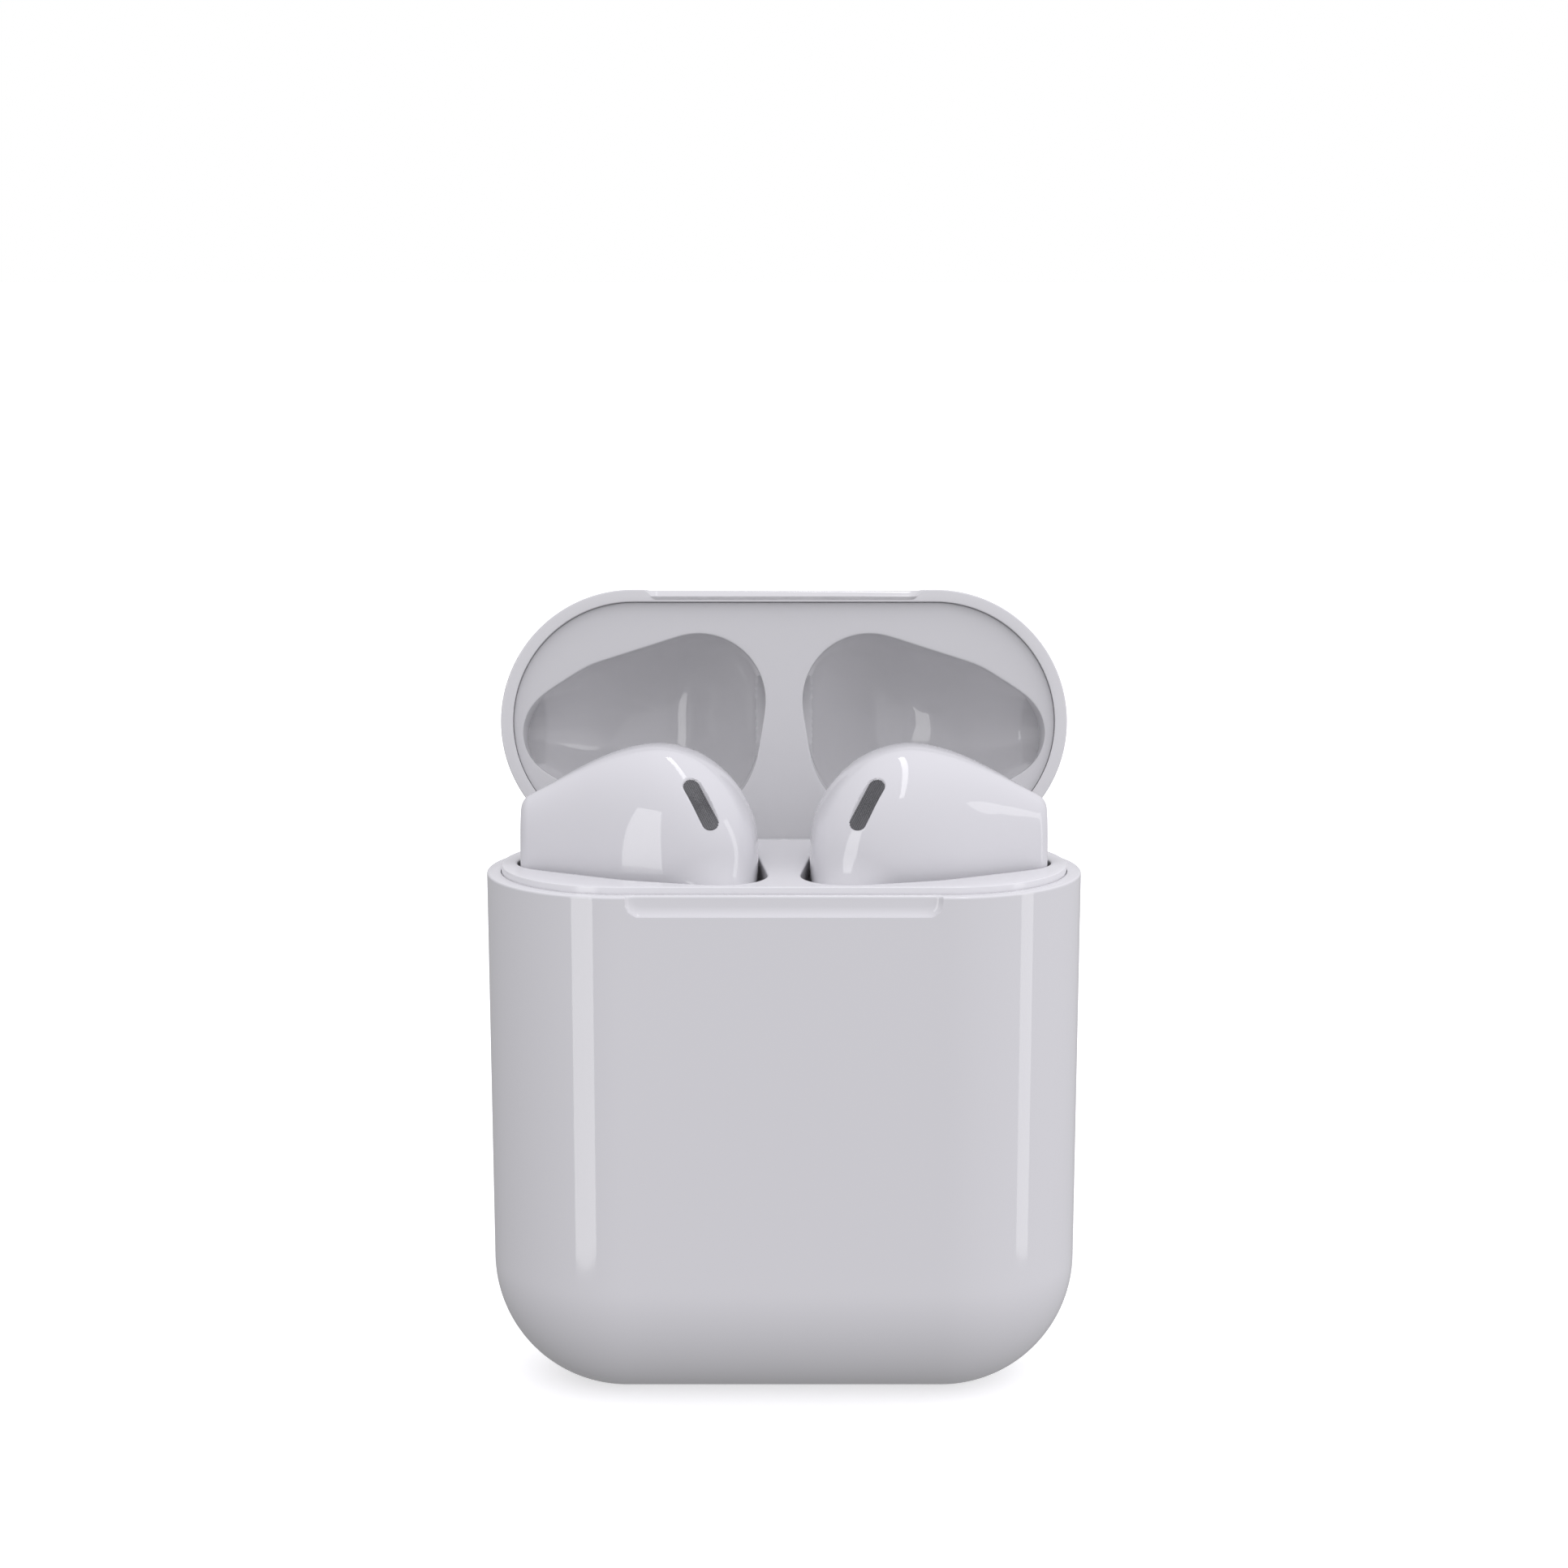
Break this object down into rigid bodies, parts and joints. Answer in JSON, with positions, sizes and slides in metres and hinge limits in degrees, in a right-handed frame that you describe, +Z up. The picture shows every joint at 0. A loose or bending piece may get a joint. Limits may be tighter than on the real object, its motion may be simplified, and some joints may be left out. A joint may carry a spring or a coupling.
{
  "type": "wireless earbuds case",
  "caption": "Pocket charging case with a rounded base and hinged lid, holding a pair of stemmed earbuds in wells, with a bottom charging socket and a rear button.",
  "frame": {"origin": "centre of the flat that the case stands on, which is also the centre of the charging socket's mouth", "axes": "+Z up, +X to the right of someone facing the case, the front faces -Y"},
  "size_m": [0.0444, 0.0373, 0.0584],
  "materials": {
    "gloss_white": "gloss",
    "tray_white": "satin",
    "bud_white": "gloss",
    "dark_mesh": "woven",
    "dark_window": "gloss",
    "hinge_steel": "brushed",
    "screw_steel": "plain",
    "spring_steel": "plain",
    "contact_gold": "plated",
    "board_green": "solder mask",
    "chip_black": "moulded",
    "flex_amber": "film",
    "battery_foil": "foil",
    "tape_black": "adhesive",
    "inner_plastic": "moulded",
    "seal_rubber": "matte",
    "magnet_nickel": "nickel plated",
    "driver_metal": "pressed"
  },
  "bodies": {
    "case": {"base_magnets": "magnet_nickel", "battery_cell": "battery_foil", "battery_tape": "tape_black", "board_chips": "chip_black", "button_frame": "inner_plastic", "button_switch": "inner_plastic", "case_shell": "gloss_white", "contact_block_left": "inner_plastic", "contact_block_right": "inner_plastic", "contact_flex": "flex_amber", "contact_springs_left": "spring_steel", "contact_springs_right": "spring_steel", "hall_sensor": "chip_black", "hinge_bracket": "hinge_steel", "hinge_pin": "hinge_steel", "hinge_screws": "screw_steel", "hinge_spring": "spring_steel", "inner_tray": "tray_white", "main_board": "board_green", "port_board": "board_green", "port_flex": "flex_amber", "port_seal": "seal_rubber", "port_shell": "hinge_steel", "port_tongue": "chip_black", "sensor_flex": "flex_amber", "status_led": "chip_black", "well_magnets": "magnet_nickel"},
    "lid": {"lid_shell": "gloss_white", "lid_liner": "tray_white", "lid_leaf": "hinge_steel", "lid_screws": "screw_steel", "lid_magnets": "magnet_nickel"},
    "earbud_left": {"bud_shell_left": "bud_white", "rear_cap_left": "bud_white", "vent_mesh_left": "dark_mesh", "nozzle_mesh_left": "dark_mesh", "sensor_window_left": "dark_window", "speaker_driver_left": "driver_metal", "bud_board_left": "board_green", "bud_battery_left": "battery_foil", "stem_cap_left": "hinge_steel", "mic_mesh_left": "dark_mesh", "bud_magnet_left": "magnet_nickel"},
    "earbud_right": {"bud_shell_right": "bud_white", "rear_cap_right": "bud_white", "vent_mesh_right": "dark_mesh", "nozzle_mesh_right": "dark_mesh", "sensor_window_right": "dark_window", "speaker_driver_right": "driver_metal", "bud_board_right": "board_green", "bud_battery_right": "battery_foil", "stem_cap_right": "hinge_steel", "mic_mesh_right": "dark_mesh", "bud_magnet_right": "magnet_nickel"},
    "setup_button": {"setup_button": "gloss_white"},
    "contact_pin_left_outer": {"contact_pin_left_outer": "contact_gold"},
    "contact_pin_left_inner": {"contact_pin_left_inner": "contact_gold"},
    "contact_pin_right_outer": {"contact_pin_right_outer": "contact_gold"},
    "contact_pin_right_inner": {"contact_pin_right_inner": "contact_gold"}
  },
  "joints": [
    {"name": "lid_hinge", "type": "hinge", "parent": "case", "child": "lid", "pos_m": [0, 0.0102, 0.03853], "axis": [-1, 0, 0], "range_deg": [-102.45, 0]},
    {"name": "earbud_left_lift", "type": "slide", "parent": "case", "child": "earbud_left", "axis": [0, 0, 1], "range_m": [0, 0.045]},
    {"name": "earbud_right_lift", "type": "slide", "parent": "case", "child": "earbud_right", "axis": [0, 0, 1], "range_m": [0, 0.045]},
    {"name": "setup_button_press", "type": "slide", "parent": "case", "child": "setup_button", "axis": [0, -1, 0], "range_m": [0, 0.0003], "stiffness_N_per_m": 800},
    {"name": "contact_pin_left_outer_press", "type": "slide", "parent": "case", "child": "contact_pin_left_outer", "axis": [0, 0, 1], "range_m": [-0.0004, 0], "stiffness_N_per_m": 150, "deforming": ["contact_springs_left"]},
    {"name": "contact_pin_left_inner_press", "type": "slide", "parent": "case", "child": "contact_pin_left_inner", "axis": [0, 0, 1], "range_m": [-0.0004, 0], "stiffness_N_per_m": 150},
    {"name": "contact_pin_right_outer_press", "type": "slide", "parent": "case", "child": "contact_pin_right_outer", "axis": [0, 0, 1], "range_m": [-0.0004, 0], "stiffness_N_per_m": 150, "deforming": ["contact_springs_right"]},
    {"name": "contact_pin_right_inner_press", "type": "slide", "parent": "case", "child": "contact_pin_right_inner", "axis": [0, 0, 1], "range_m": [-0.0004, 0], "stiffness_N_per_m": 150}
  ]
}
